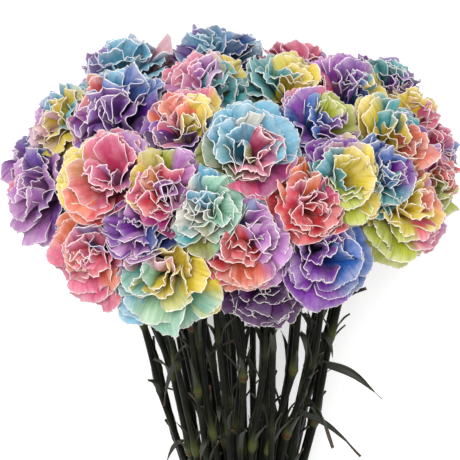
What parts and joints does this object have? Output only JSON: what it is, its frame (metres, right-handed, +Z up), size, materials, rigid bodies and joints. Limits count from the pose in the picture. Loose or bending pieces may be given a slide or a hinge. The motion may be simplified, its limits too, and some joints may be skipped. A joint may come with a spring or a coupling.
{
  "type": "bunch of carnations",
  "caption": "Bunch of cut rainbow-dyed carnations with ruffled blooms in a full dome, held by a rubber band round the stems and laid on its side.",
  "frame": {"origin": "middle of the bottom of the bounding box, on the table that the bunch lies on", "axes": "+Y along the bunch from the cut ends to the blooms, +Z up from the table, +X to the right when seen from above with the blooms at the top"},
  "size_m": [0.3552, 0.6122, 0.2784],
  "materials": {
    "petals": "matt thin petals, dyed in sectors of many colours with pale margins",
    "stems": "dark olive green, slightly waxy, with swollen joints",
    "leaves": "narrow dull green leaves, dry at the tips",
    "rubber_band": "plain tan rubber"
  },
  "bodies": {
    "root": {"bloom_01": "petals", "bloom_02": "petals", "bloom_03": "petals", "bloom_04": "petals", "bloom_05": "petals", "bloom_06": "petals", "bloom_07": "petals", "bloom_08": "petals", "bloom_09": "petals", "bloom_10": "petals", "bloom_11": "petals", "bloom_12": "petals", "bloom_13": "petals", "bloom_14": "petals", "bloom_15": "petals", "bloom_16": "petals", "bloom_17": "petals", "bloom_18": "petals", "bloom_19": "petals", "bloom_20": "petals", "bloom_21": "petals", "bloom_22": "petals", "bloom_23": "petals", "bloom_24": "petals", "bloom_25": "petals", "bloom_26": "petals", "bloom_27": "petals", "bloom_28": "petals", "bloom_29": "petals", "bloom_30": "petals", "bloom_31": "petals", "bloom_32": "petals", "bloom_33": "petals", "bloom_34": "petals", "bloom_35": "petals", "bloom_36": "petals", "bloom_37": "petals", "stem_01": "stems", "stem_02": "stems", "stem_03": "stems", "stem_04": "stems", "stem_05": "stems", "stem_06": "stems", "stem_07": "stems", "stem_08": "stems", "stem_09": "stems", "stem_10": "stems", "stem_11": "stems", "stem_12": "stems", "stem_13": "stems", "stem_14": "stems", "stem_15": "stems", "stem_16": "stems", "stem_17": "stems", "stem_18": "stems", "inner_stems": "stems", "leaf_01": "leaves", "leaf_02": "leaves", "leaf_03": "leaves", "rubber_band": "rubber_band"}
  },
  "joints": []
}
